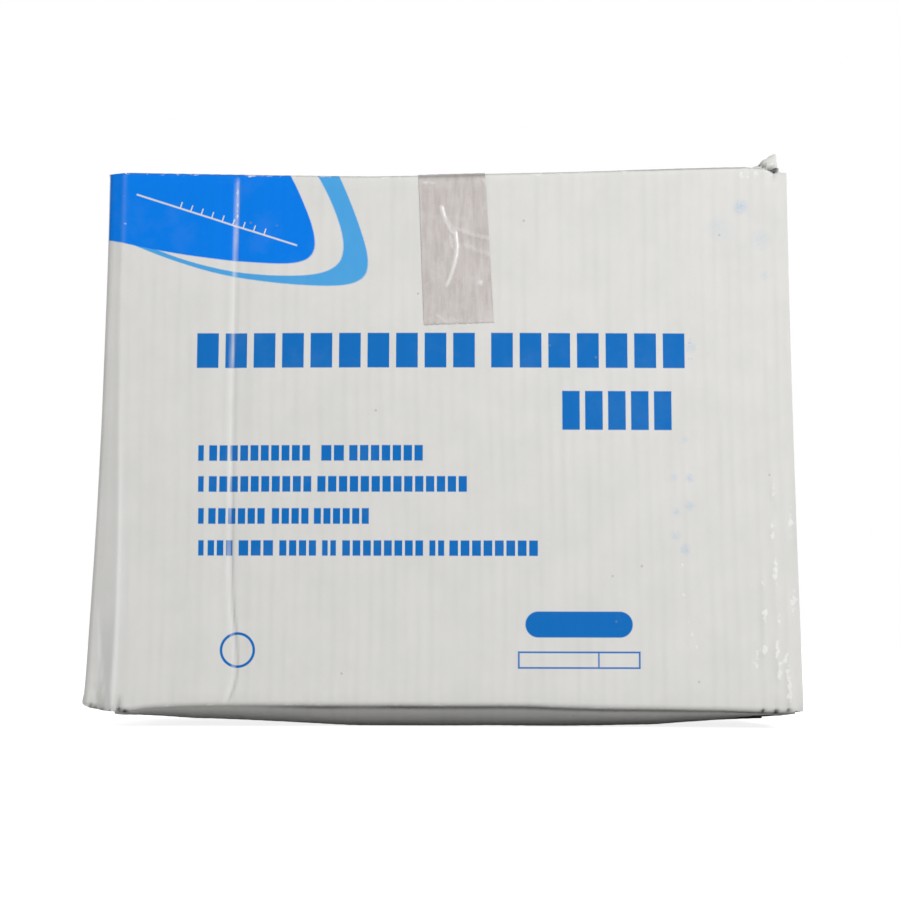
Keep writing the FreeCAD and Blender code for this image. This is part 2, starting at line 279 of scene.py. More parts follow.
def foot_drop(x, y=FRONT):
    """How far the crushed foot of the front lies below its fold line."""
    stations = ((-192.0, 2.4), (-184.0, 3.4), (-174.0, 4.2), (-165.0, 2.6), (-155.0, 1.2), (-140.0, 0.5))
    stations += ((-125.0, 0.0), (45.0, 0.0), (63.0, 0.6), (117.0, 1.6), (154.0, 2.2), (181.0, 3.2))
    return softened(stations, x, 3.0) * at_front(y)


def bottom_hang(kind, x):
    """Share of the whole sag at a place along a bottom flap."""
    if kind == "bottom back":
        start = LEFT + FLAP_END_GAP + FOLD
        end = RIGHT - FLAP_END_GAP - FOLD
        tail = ((blend(REST_HALF, end, 0.4), 0.95), (end, 0.72))
        return softened(((start, 0.3), (-REST_HALF, 1.0), (REST_HALF, 1.0)) + tail, x, 5.0)
    start = LEFT - SPLAY_LEFT + STRIP_WIDTH[0]
    end = RIGHT + SPLAY_RIGHT - FLAP_END_GAP
    shares = ((0.12, 0.94), (0.35, 0.85), (0.5, 0.77), (0.63, 0.62), (0.77, 0.47), (1.0, 0.16))
    tail = tuple((blend(REST_HALF, end, share), hang) for share, hang in shares)
    head = ((start, 0.1), (start + 10, 0.24), (start + 18, 0.4))
    head += ((blend(start, -REST_HALF, 0.32), 0.64), (blend(start, -REST_HALF, 0.6), 0.79))
    return softened(head + ((-REST_HALF, 1.0), (REST_HALF, 1.0)) + tail, x, 5.0)


def flap_height(kind, x, across):
    """How far a flap lies out from its fold's level, at a distance in from the wall."""
    if kind.startswith("bottom"):
        sag = FOOT * bottom_hang(kind, x)
        return softened(((FOLD, 0.0), (FLAP_REACH - REST_REACH, sag), (FLAP_REACH, sag)), across, 2.5)
    if kind != "top front":
        return 0.0
    if x > EAR_START:
        ridge, tail = ear(x)
        return between(((FOLD, 0.0), (9.0, ridge), (FLAP_REACH, tail)), across)
    return -top_rise(x) * min(1.0, (across - FOLD) / (FLAP_REACH - FOLD))


def folded(kind, x, beyond, inset):
    """Across and out for a point of a fold and its flap, a distance beyond the wall's cut end."""
    rise = top_rise(x) if kind == "top front" else foot_drop(x) if kind == "bottom front" else 0.0
    set_in = SCORE * ramp(beyond / 2)
    if beyond <= LAND:
        return set_in + inset, beyond * (LAND + rise) / LAND
    level = LAND + rise + FOLD
    if beyond < LAND + 2 * FOLD:
        angle = math.radians(90) * (beyond - LAND) / (2 * FOLD)
        radius = FOLD - inset
        return set_in + FOLD - radius * math.cos(angle), level - FOLD + radius * math.sin(angle)
    across = beyond - LAND - FOLD
    step = 0.4
    low = max(FOLD, across - step)
    slope = (flap_height(kind, x, across + step) - flap_height(kind, x, low)) / (across + step - low)
    lean = math.atan(slope) * ramp((across - FOLD) / 2)
    out = level + flap_height(kind, x, across) - inset * math.cos(lean)
    return set_in + across + inset * math.sin(lean), out


FLAPS = {
    "front": ("bottom front", "top front"),
    "back": ("bottom back", "top back"),
    "left end": ("inner", "inner"),
    "right end": ("inner", "inner"),
}


def board_point(part, t, v, inset, hung=True):
    """A point of the folded blank at a height v above the bottom fold line, an inset into the board."""
    drop = PLY_DROP if part in ("left end", "right end") else 0.0
    low = CUT + drop
    high = WALL_HEIGHT - low
    base, normal = outline_point(level_at(min(high, max(low, v)) if hung else v), part, t)
    across = inset
    z = FOOT + v
    if hung and v < low:
        across, out = folded(FLAPS[part][0], base.x, low - v, inset)
        z = FOOT + low - out
    elif hung and v > high:
        across, out = folded(FLAPS[part][1], base.x, v - high, inset)
        z = FOOT + high + out
    elif not hung and v < CUT:
        # The foot of a corner post is crushed down and curls in
        low_share = min(1.0, (CUT - v) / (CUT - POST_END))
        z -= foot_drop(base.x, base.y) * low_share
        across += CURL_IN * low_share ** 3 * at_front(base.y)
    flat = base - normal * across
    return Vector((flat.x, flat.y, z))


# Dents near the right edge of the front: place, half width, half height, and how far out
RIGHT_DENTS = (
    (176.3, 126.0, 1.6, 6.0, 0.35),
    (175.6, 118.0, 1.5, 4.0, -0.3),
    (175.9, 107.0, 1.6, 3.0, 0.4),
    (175.5, 101.0, 1.5, 2.5, 0.45),
    (176.5, 82.0, 1.7, 9.0, 0.4),
    (169.8, 76.8, 1.4, 2.5, 0.4),
    (176.7, 68.0, 1.4, 7.0, 0.3),
    (170.4, 60.0, 1.6, 4.0, 0.4),
    (170.4, 50.0, 1.5, 5.0, 0.3),
    (169.8, 42.0, 1.8, 3.0, 0.5),
    (178.4, 57.0, 1.4, 5.0, 0.3),
    (177.0, 41.0, 1.4, 6.0, 0.4),
    (181.4, 38.0, 1.5, 5.0, 0.35),
    (178.0, 31.0, 1.6, 5.0, 0.5),
    (182.6, 29.0, 1.5, 6.0, 0.5),
    (183.0, 19.0, 1.4, 9.0, 0.5),
    (166.0, 36.0, 1.6, 9.0, -0.3),
    (186.0, 66.0, 2.0, 8.0, -0.35),
    (185.0, 110.0, 2.4, 12.0, -0.3),
)
# Lines on the front, as x and z: a scratch, the strip's pinched facet and the foot of the ear
SCRATCH = ((127.2, 92.0), (127.6, 75.0), (129.4, 60.0), (132.0, 50.0), (134.5, 43.0))
PINCH = ((-183.4, 62.0), (-182.2, 38.0), (-180.3, 24.0), (-177.4, 12.0))
EAR_FOOT = ((171.0, 307.5), (175.5, 304.0), (178.6, 301.2), (179.8, 300.0))
# The long crease: its x at each height
CREASE = ((11.0, -116.5), (17.0, -112.6), (28.0, -109.6), (44.0, -110.2), (62.0, -112.3))
CREASE += ((84.0, -113.2), (190.0, -113.1), (250.0, -112.3), (301.0, -111.4))
# Painted shade in the cracks of the crushed corners and in the notch at the foot of the ear: x, z and size
PAINTED_SHADE_SPOTS = (
    (-187.2, 11.0, 1.3),
    (-184.6, 10.0, 1.5),
    (-180.5, 9.2, 1.3),
    (-176.0, 8.6, 1.2),
    (-170.6, 9.8, 1.6),
    (-167.5, 8.8, 1.2),
    (180.2, 300.4, 1.1),
    (169.0, 10.0, 1.0),
    (176.0, 9.6, 1.2),
    (182.5, 10.2, 1.0),
)


def path_distance(path, x, z):
    best = 1e9
    for (x0, z0), (x1, z1) in zip(path, path[1:]):
        dx, dz = x1 - x0, z1 - z0
        t = min(1.0, max(0.0, ((x - x0) * dx + (z - z0) * dz) / (dx * dx + dz * dz)))
        best = min(best, math.hypot(x - x0 - dx * t, z - z0 - dz * t))
    return best


def liner_relief(s, v, seed):
    """Washboard over the flutes and the slow waves of a worn wall, outward."""
    strength = 0.8 + 0.7 * wavy(s, v * 0.35, 38.0, seed)
    washboard = size("washboard") * strength * math.cos(2 * math.pi * s / size("flute_pitch"))
    slow = 0.34 * wavy(s, v, 55.0, seed + 3) + 0.12 * wavy(s, v, 17.0, seed + 7)
    return washboard + slow + 0.05 * wavy(s * 18, v, 60.0, seed + 11)


def front_damage(x, z):
    """Outward relief, wear and torn paper of the front."""
    relief = wear = 0.0
    if FOOT < z < TOP:
        side = x - softened(CREASE, z, 5.0)
        kept = ramp((z - FOOT) / 6) * ramp((TOP - z) / 8)
        relief += kept * (0.12 * bell(side - 2.8, 1.7) + 0.1 * bell(side + 2.8, 1.7) - 0.4 * bell(side, 1.3))
        printed = ramp((z - 250) / 12) * ramp((TOP - z) / 5)
        wear = kept * printed * bell(side, 1.0) * (0.5 + 0.5 * wavy(0.0, z, 9.0, 5.0))
    if x > 120:
        for place_x, place_z, wide, tall, out in RIGHT_DENTS:
            far = ((x - place_x) / wide) ** 2 + ((z - place_z) / tall) ** 2
            if far < 9:
                relief += out * math.exp(-far)
                wear = max(wear, 2.1 * abs(out) * math.exp(-far * 1.2))
        scratch = path_distance(SCRATCH, x, z)
        relief -= 0.15 * bell(scratch, 1.0)
        wear = max(wear, 0.45 * bell(scratch, 1.1))
    crush = ramp(1.15 - math.hypot((x - LEFT + 2) / 17, (z - FOOT) / 13))
    relief += crush * (2.0 * wavy(x, z, 6.5, 21.0) + 1.0 * wavy(x, z, 2.8, 22.0) - 0.3)
    torn = 0.5 * ramp((crush - 0.3) * 2) * ramp((wavy(x, z * 1.5, 3.4, 23.0) - 0.2) * 5)
    if x > EAR_START - 4 and z > TOP - 3:
        crumpled = ramp((x - EAR_START + 4) / 8)
        relief += crumpled * (0.9 * wavy(x, z * 1.6, 5.0, 24.0) + 0.4 * wavy(x, z, 2.0, 26.0))
        relief -= 1.2 * bell(path_distance(EAR_FOOT, x, z), 1.4)
        wear = max(wear, 0.6 * ramp((wavy(x, z * 2, 3.0, 25.0) + 0.1) * 3))
    return relief, wear, torn


def front_painted_shading(from_strip, v, x, z):
    """How much lighter or darker the front is painted: painted highlights along the crease, the strip's bend
    and the pinched facet, and painted shade along the crease and folds, under the flap, at the ear's foot and
    in the crushed corners.
    """
    tone = 0.0
    if 0 < v < WALL_HEIGHT:
        kept = ramp(v / 6) * ramp((WALL_HEIGHT - v) / 8)
        side = x - softened(CREASE, z, 5.0)
        uneven = 0.75 + 0.6 * wavy(0.0, z, 16.0, 61.0)
        low = 1 - ramp((v - 60) / 160)
        # Painted highlight on the left flank of the crease, and painted shade beside it on the right, lower
        # down
        tone += kept * uneven * (0.7 * bell(side + 0.3, 0.9) - 0.3 * low * bell(side - 1.6, 0.9))
        # Painted highlight along the strip's bend, stronger lower down
        tone += (0.05 + 0.6 * low) * bell(from_strip + 0.6, 1.3)
        # Painted highlight along the strip's pinched facet near the foot
        tone += 0.7 * ramp((62 - v) / 40) * bell(path_distance(PINCH, x, z), 1.1)
    # Painted shade along the top fold, darker at the right and lighter at the ear
    top_fold_shade = 0.15 + 0.35 * ramp((x - 95) / 20) - 0.3 * ramp((x - EAR_START + 4) / 6)
    tone -= top_fold_shade * bell(v - WALL_HEIGHT - 1.5, 1.4)
    # Painted shade just under the bottom fold, fading out towards the left
    tone -= (0.7 + 0.3 * wavy(x, 0.0, 30.0, 63.0)) * ramp((x + 115) / 60) * bell(v + 4.0, 2.8)
    # The flap is painted dark towards its free edge at the right, as painted shade in the gap under it
    shade_from = blend(55.0, 12.0, ramp((x - 117) / 64))
    tone -= 1.2 * ramp((x - 112) / 15) * ramp((-v - shade_from) / 6)
    # Painted shade along the foot of the ear
    if x > EAR_START - 6:
        tone -= 0.9 * bell(path_distance(EAR_FOOT, x, z), 1.3)
    # Painted shade in the cracks of the crushed corners and at the ear's notch
    if abs(x) > 160:
        for spot_x, spot_z, radius in PAINTED_SHADE_SPOTS:
            tone -= 1.1 * bell(math.hypot(x - spot_x, z - spot_z), radius)
    return tone


def edge_wear(s, v, corner):
    """Rubbed paper along the folds and near an upright corner at a distance."""
    fold = min(abs(v), abs(v - WALL_HEIGHT))
    rubbed = 0.75 * bell(fold, 1.5) * (0.5 + 1.0 * wavy(s, v, 7.0, 31.0))
    return max(rubbed, 0.3 * bell(corner, 1.2) * (0.5 + 1.1 * wavy(s, v, 14.0, 33.0)))


def row_heights(drop, spacing):
    """Rows of a sheet, from the bottom flap's free edge to the top flap's."""
    flap = [FOLD + 1.9 * i for i in range(1, 5)]
    flap += [blend(flap[-1], FLAP_REACH, i / 10) for i in range(1, 11)]
    fold = [FOLD - 1.2 * i for i in range(7)]
    rows = [drop - out for out in reversed(flap)] + [drop - place for place in fold]
    foot_end = 34.0  # the crumpled foot has closer rows
    start = drop + CUT
    end = WALL_HEIGHT - drop - CUT
    count = round((foot_end - start) / (spacing * 0.6))
    rows += [blend(start, foot_end, i / count) for i in range(count)]
    count = round((end - foot_end) / spacing)
    rows += [blend(foot_end, end, i / count) for i in range(count + 1)]
    rows += [WALL_HEIGHT - drop - place for place in fold]
    return rows + [WALL_HEIGHT - drop + out for out in flap]


def flap_limits(part, foot):
    """Where a flap starts and ends along its wall: x on the front and back, y on the ends."""
    at = level_at(0.0 if foot else WALL_HEIGHT)
    if part == "front":
        return at.face_start, at.right - FLAP_END_GAP
    if part == "back":
        return LEFT + FLAP_END_GAP + FOLD, RIGHT - FLAP_END_GAP - FOLD
    clear = max(BOARD, at.strip_back) if part == "left end" else 2 * BOARD
    return FRONT + clear + SIDE_GAP, BACK - FOLD - SIDE_GAP


def hangs_on(part, t, foot):
    """Whether a flap hangs on this column of the blank."""
    if part not in FLAPS:
        return False
    point = outline_point(level_at(0.0 if foot else WALL_HEIGHT), part, t)[0]
    place = point.x if part in ("front", "back") else point.y
    low, high = flap_limits(part, foot)
    return low - 1e-3 <= place <= high + 1e-3


def sheet_columns(runs):
    """Columns of a sheet: the part of the outline, the place on it, and millimetres along the blank.

    The front measures the blank by its x at half height, and the back by the same turned round.
    """
    columns = []
    along = 0.0
    previous = None
    middle = level_at(WALL_HEIGHT / 2)
    offset = 0.0
    for part, steps, start, end in runs:
        for i in range(0 if part in FLAPS or not columns else 1, steps + 1):
            t = blend(start, end, i / steps)
            point = outline_point(middle, part, t)[0]
            step = (point - previous).length if previous else 0.0
            if step < 0.05 and columns:
                columns.pop()
            along += step
            if i == 0 and part in ("front", "back"):
                offset = (point.x if part == "front" else -point.x) - along
            columns.append((part, t, along))
            previous = point
    return [(part, t, along + offset) for part, t, along in columns]


# What the mesh keeps for each vertex beside its place on the blank; its tone is painted highlight above 0 and
# painted shade below 0
MARKS = ("wear", "torn", "tone")


def solid_sheet(name, columns, rows, place, doomed, replaced, materials):
    """A grid of the blank, given its thickness, moved to its folded place and finished as an object."""
    bm = bmesh.new()
    blank = bm.verts.layers.float_vector.new("blank")
    mark_layers = [bm.verts.layers.float.new(kind) for kind in MARKS]
    half_x = (len(columns) - 1) / 2
    half_y = (len(rows) - 1) / 2
    grid = bmesh.ops.create_grid(bm, x_segments=len(columns) - 1, y_segments=len(rows) - 1, size=1.0)
    for vert in grid["verts"]:
        vert[blank] = Vector((round(vert.co.x * half_x + half_x), round(vert.co.y * half_y + half_y), 0.0))
    cut_away = []
    for cell in bm.faces:
        i = round(min(vert[blank].x for vert in cell.verts))
        j = round(min(vert[blank].y for vert in cell.verts))
        if doomed(i, j):
            cut_away.append(cell)
    bmesh.ops.delete(bm, geom=cut_away, context="FACES")
    outer = set(bm.verts)
    bmesh.ops.solidify(bm, geom=bm.faces[:], thickness=0.01)
    for vert in bm.verts:
        share = 0.0 if vert in outer else 1.0
        point, spot, marks = place(round(vert[blank].x), round(vert[blank].y), share)
        vert.co = point * MM
        vert[blank] = Vector((spot[0], spot[1], share))
        for layer, mark in zip(mark_layers, marks):
            vert[layer] = mark
    for cell in bm.faces:
        shares = [vert[blank].z for vert in cell.verts]
        cell.smooth = True
        cell.material_index = 0 if max(shares) == 0.0 else 1 if min(shares) == 1.0 else 2
    for edge in bm.edges:
        edge.smooth = len({cell.material_index for cell in edge.link_faces}) == 1
    bmesh.ops.recalc_face_normals(bm, faces=bm.faces[:])
    mesh = bpy.data.meshes.new(name)
    bm.to_mesh(mesh)
    bm.free()
    for material in materials:
        mesh.materials.append(material)
    piece = bpy.data.objects.new(name, mesh)
    bpy.context.scene.collection.objects.link(piece)
    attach(piece, "root")
    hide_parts(replaced)
    return piece


def wall_sheet(name, runs, spacing, seed, liner):
    """One wall of the carton with its two flaps, as a closed shell of board."""
    columns = sheet_columns(runs)
    walls = {part for part, _, _ in columns if part in FLAPS}
    drop = PLY_DROP if walls & {"left end", "right end"} else 0.0
    rows = row_heights(drop, spacing)
    hung = [[hangs_on(part, t, foot) for foot in (True, False)] for part, t, _ in columns]
    is_front = "front" in walls
    first_s = columns[0][2]
    last_s = columns[-1][2]
    strip_end = next(s for part, _, s in columns if part in walls)

    def doomed(i, j):
        for end in (0, 1):
            here, there = hung[i][end], hung[i + 1][end]
            if here and there:
                continue
            stop = POST_END if here == there or is_front else drop + FOLD
            if columns[i][0] == "tab":
                stop = CUT
            if end == 0 and rows[j] < stop - 1e-6:
                return True
            if end == 1 and rows[j + 1] > WALL_HEIGHT - stop + 1e-6:
                return True
        return False

    def place(i, j, share):
        part, t, s = columns[i]
        v = rows[j]
        on_flap = hung[i][0] if v < WALL_HEIGHT / 2 else hung[i][1]
        point = board_point(part, t, v, share * BOARD, on_flap)
        if share == 1.0:
            return point, (s, v), (0.0, 0.0, 0.0)
        out = (point - board_point(part, t, v, 1.0, on_flap)).normalized()
        side = min(s - first_s, last_s - s)
        relief = liner_relief(s, v, seed) * ramp(side / 5)
        wear = edge_wear(s, v, abs(s - strip_end) if is_front else side)
        torn = 0.0
        # Painted shade along the top and bottom folds of every wall
        tone = -0.3 * bell(v - WALL_HEIGHT - 1.0, 1.3) - 0.25 * bell(v + 1.5, 1.6)
        if is_front:
            more, rubbed, torn = front_damage(point.x, point.z)
            relief += more * ramp(side / 2)
            wear = max(wear, rubbed)
            tone += front_painted_shading(s - strip_end, v, point.x, point.z)
        else:
            crush = ramp(1.2 - math.hypot(side / 12, min(abs(v), abs(v - WALL_HEIGHT)) / 8))
            relief += crush * 0.9 * wavy(s, v, 5.0, seed + 21) * ramp(side / 2)
            torn = ramp((crush - 0.5) * 2) * ramp((wavy(s, v, 3.0, seed + 23) - 0.3) * 6)
        moved = point + out * relief
        moved.z = max(moved.z, min(point.z, 0.0))
        return moved, (s, v), (max(0.0, wear), torn, tone)

    materials = (liner, bpy.data.materials["kraft_liner"], bpy.data.materials["cut_corrugated_edge"])
    return solid_sheet(name, columns, rows, place, doomed, "carton", materials)


# Wrinkles of the tape: their paths, how high, how wide and how much air is under them
WRINKLES = (
    (((-1.1, 280.0), (1.0, 273.1), (4.5, 266.2), (5.8, 265.2)), 0.45, 0.8, 0.75),
    (((6.6, 265.8), (7.5, 258.4), (6.9, 252.7), (5.9, 247.7), (4.1, 241.7), (2.0, 236.3)), 0.5, 0.8, 0.8),
    (((0.5, 275.3), (3.2, 271.3), (6.2, 265.9)), 0.35, 0.6, 0.3),
    (((3.8, 264.0), (4.3, 260.5), (4.9, 257.1)), 0.3, 0.6, 0.5),
    (((7.1, 267.9), (13.8, 265.2), (25.4, 262.1)), 0.25, 1.1, 0.38),
    (((12.4, 258.6), (17.7, 256.1), (24.3, 253.8)), 0.2, 1.6, 0.3),
    (((-3.3, 220.3), (1.3, 216.6)), 0.2, 0.7, 0.5),
    (((-10.2, 294.1), (-9.3, 293.7)), 0.2, 0.8, 0.8),
    (((-6.6, 293.6), (-5.0, 293.4)), 0.2, 0.6, 0.6),
    (((21.6, 296.0), (23.8, 291.0)), 0.2, 0.8, 0.4),
)


def tape_point(side, x, v, lift):
    """A point of the tape, which follows the wall, fold and flap that carry it."""
    at = level_at(min(WALL_HEIGHT - CUT, max(CUT, v)))
    middle = level_at(WALL_HEIGHT / 2)
    if side == "front":
        t = (x - at.face_start) / (at.face_end - at.face_start)
        s = blend(middle.face_start, middle.face_end, t)
        seed = 1.0
    else:
        t = (at.right - FOLD - x) / (at.right - LEFT - 2 * FOLD)
        s = -blend(middle.right - FOLD, LEFT + FOLD, t)
        seed = 6.0
    point = board_point(side, t, v, 0.0)
    out = (point - board_point(side, t, v, 1.0)).normalized()
    return point + out * (liner_relief(s, v, seed) + lift)


def tape_relief(x, z, v):
    ridges = max(high * bell(path_distance(path, x, z), wide) for path, high, wide, _ in WRINKLES)
    bubble = 0.35 * hump(min(1.0, math.hypot(x - BUBBLE[0], z - BUBBLE[1]) / 1.8))
    slack = 0.12 * max(0.0, wavy(x, v, 9.0, 41.0)) + 0.06 * wavy(x * 3, v, 9.0, 43.0)
    return ridges + bubble + slack


def tape_wear(x, z):
    """Air under the tape along its wrinkles, at a bubble and at its lower end."""
    wear = max(air * bell(path_distance(path, x, z), 1.2 * wide) for path, _, wide, air in WRINKLES)
    return max(wear, 0.8 * bell(math.hypot(x - BUBBLE[0], z - BUBBLE[1]), 1.6))


def paint(code):
    """A hex colour, as linear values with full alpha."""
    values = [int(code[i : i + 2], 16) / 255 for i in (1, 3, 5)]
    linear = [v / 12.92 if v <= 0.04045 else ((v + 0.055) / 1.055) ** 2.4 for v in values]
    return (*linear, 1.0)


def node(tree, kind, *values, into=(), out=0, **settings):
    """Adds a node with its settings, fills or links its sockets, and gives back one of its outputs.

    The kind may name an operation after a space. Values go to the sockets in order, and None skips one.
    """
    kind, _, operation = kind.partition(" ")
    made = tree.nodes.new("ShaderNode" + kind)
    if operation:
        made.operation = operation
    for name, value in settings.items():
        setattr(made, name, value)
    for key, value in [*enumerate(values), *dict(into).items()]:
        if value is None:
            continue
        if isinstance(value, bpy.types.NodeSocket):
            tree.links.new(value, made.inputs[key])
        else:
            made.inputs[key].default_value = value
    return made.outputs[out] if made.outputs else None


def new_material(name):
    """The empty node tree of a new material."""
    material = bpy.data.materials.new(name)
    material.use_nodes = True
    material.node_tree.nodes.clear()
    return material.node_tree


def mixed(tree, share, first, second):
    """Two colours mixed, each a link, a value or the name of one of the finish's colours."""
    finish = bpy.context.scene.carton_finish
    pair = [tuple(getattr(finish, kind)) if isinstance(kind, str) else kind for kind in (first, second)]
    return node(tree, "Mix", into={0: share, 6: pair[0], 7: pair[1]}, out=2, data_type="RGBA")


def mapped(tree, value, low, high, first=0.0, last=1.0):
    """A value carried from one range to another, and kept within it."""
    return node(tree, "MapRange", value, low, high, first, last)


def times(tree, one, two):
    return node(tree, "Math MULTIPLY", one, two)


def larger(tree, one, two):
    return node(tree, "Math MAXIMUM", one, two)


def outside(tree, mask):
    return node(tree, "Math SUBTRACT", 1.0, mask)


def noisy(tree, place, scale, detail, roughness):
    return node(tree, "TexNoise", place, None, scale, detail, roughness)


def place_in_mm(tree):
    return node(tree, "VectorMath SCALE", node(tree, "TexCoord", out=3), into={3: 1 / MM})


def mark(tree, name, out=2):
    """What the mesh keeps for each vertex: one of its marks or, with out 1, its place on the blank."""
    return node(tree, "Attribute", attribute_name=name, out=out)


def surface(tree, colour, roughness, height, strength, more):
    """Ends a material with its relief and its surface."""
    bump = node(tree, "Bump", into={"Strength": strength, "Distance": MM, "Height": height})
    sockets = {"Roughness": roughness, "Normal": bump, **more}
    node(tree, "OutputMaterial", node(tree, "BsdfPrincipled", colour, into=sockets))


def box_mask(tree, place, x0, x1, z0, z1, soft=0.25):
    """1 inside an upright box of the front, in millimetres."""
    away = node(tree, "VectorMath SUBTRACT", place, ((x0 + x1) / 2, 0.0, (z0 + z1) / 2))
    away = node(tree, "VectorMath ABSOLUTE", away)
    away = node(tree, "VectorMath SUBTRACT", away, ((x1 - x0) / 2, 0.0, (z1 - z0) / 2))
    apart = node(tree, "SeparateXYZ", away)
    return mapped(tree, larger(tree, apart, apart.node.outputs[2]), soft, -soft)


def disc_distance(tree, place, x, z, radius):
    away = node(tree, "VectorMath DISTANCE", place, (x, 0.0, z), out=1)
    return node(tree, "Math SUBTRACT", away, radius)


def lens_mask(tree, place, one, two, ragged):
    """1 where two great circles overlap, with their corner rounded."""
    inside = [disc_distance(tree, place, *circle) for circle in (one, two)]
    beyond = node(tree, "Math SMOOTH_MAX", *inside, 30.0)
    return mapped(tree, node(tree, "Math ADD", beyond, ragged), 0.3, -0.3)


# Rows of plain blocks that stand for print: the ends of each group of blocks, then foot, head and pitch
PRINT_ROWS = (
    (((-132.3, 17.3), (25.9, 129.9)), 191.7, 210.6, 15.2),
    (((63.9, 122.5),), 158.2, 179.2, 12.0),
    (((-130.7, -127.6), (-124.8, -70.6), (-64.7, -52.5), (-49.8, -10.4)), 141.5, 149.9, 5.45),
    (((-130.5, -127.4), (-124.8, -69.8), (-66.7, 13.1)), 124.9, 133.3, 5.6),
    (((-130.2, -127.1), (-124.8, -94.5), (-90.8, -71.1), (-68.4, -39.0)), 107.8, 116.2, 5.4),
    (((-129.9, -126.9), (-124.9, -111.6), (-108.4, -89.9), (-86.7, -67.0)), 90.9, 99.1, 5.8),
    (((-63.9, -56.4), (-53.2, -10.1), (-6.9, 1.1), (3.7, 50.8)), 90.9, 99.1, 5.8),
)


def print_rows_mask(tree, place, x):
    total = None
    for groups, foot, head, pitch in PRINT_ROWS:
        for x0, x1 in groups:
            gap = 0.24 * pitch
            count = max(1, round((x1 - x0 + gap) / pitch))
            step = (x1 - x0 + gap) / count
            group = box_mask(tree, place, x0, x1, foot, head)
            local = node(tree, "Math FRACT", node(tree, "Math MULTIPLY_ADD", x, 1 / step, -x0 / step))
            group = times(tree, group, node(tree, "Math LESS_THAN", local, 1 - gap / step))
            total = group if total is None else larger(tree, total, group)
    return total


# Soft smudges of ink rubbed off on the right of the front: x from and to, z from and to, and how dense
SMUDGES = (
    (130.5, 135.0, 195.0, 210.0, 0.55),
    (127.5, 131.5, 93.0, 146.0, 0.35),
    (141.0, 180.0, 236.0, 297.0, 0.12),
    (122.0, 133.5, 100.0, 135.0, 0.22),
    (158.0, 164.0, 277.0, 284.0, 0.3),
)


# Single soft blots of ink: place, radius, and how dense
BLOTS = (
    (161.2, 280.2, 5.0, 0.9),
    (131.6, 117.6, 3.4, 0.6),
    (124.7, 114.4, 3.0, 0.5),
    (124.0, 101.6, 3.4, 0.5),
    (129.2, 94.7, 3.6, 0.7),
    (123.3, 133.0, 3.0, 0.4),
    (131.8, 132.5, 3.2, 0.6),
    (129.4, 153.4, 2.6, 0.4),
    (173.5, 242.3, 3.0, 0.4),
    (133.0, 203.0, 4.0, 0.7),
    (172.0, 262.0, 7.0, 0.35),
    (150.0, 268.0, 9.0, 0.25),
)


def smudge_mask(tree, place, fine):
    total = None
    for x0, x1, z0, z1, dense in SMUDGES:
        patch = times(tree, box_mask(tree, place, x0, x1, z0, z1, 2.5), dense)
        total = patch if total is None else larger(tree, total, patch)
    limit = node(tree, "Math SUBTRACT", 0.86, times(tree, total, 0.62))
    spots = mapped(tree, node(tree, "Math SUBTRACT", fine, limit), 0.0, 0.09)
    spots = times(tree, spots, mapped(tree, total, 0.02, 0.1))
    for x, z, radius, dense in BLOTS:
        blot = mapped(tree, disc_distance(tree, place, x, z, radius), 0.0, -radius, 0.0, dense)
        spots = larger(tree, spots, blot)
    return times(tree, spots, mapped(tree, fine, 0.35, 0.62, 0.1, 1.0))


# Printed shapes on the front, in millimetres: circles as x, z and radius, boxes as x and z from and to
FIELD = ((-255.2, 206.8, 194.7), (-71.0, 693.5, 445.2))
ARC_OUTSIDE = ((-321.4, 174.9, 291.8), (-57.6, 536.3, 299.9))
ARC_INSIDE = ((-180.3, 230.9, 130.3), (-84.0, 424.6, 182.5))
RING = (-108.3, 41.0, 8.7)
BAR = (50.9, 94.0, 47.9, 61.6)
OUTLINED_BOX = (40.1, 104.8, 31.5, 40.6)
OUTLINE = 0.9
DIVIDER = (82.4, 83.2)
LINE_PLACE = (-122.8, 0.0, 272.9)
LINE_SLANT = -17.9
TICK_PITCH = 6.0


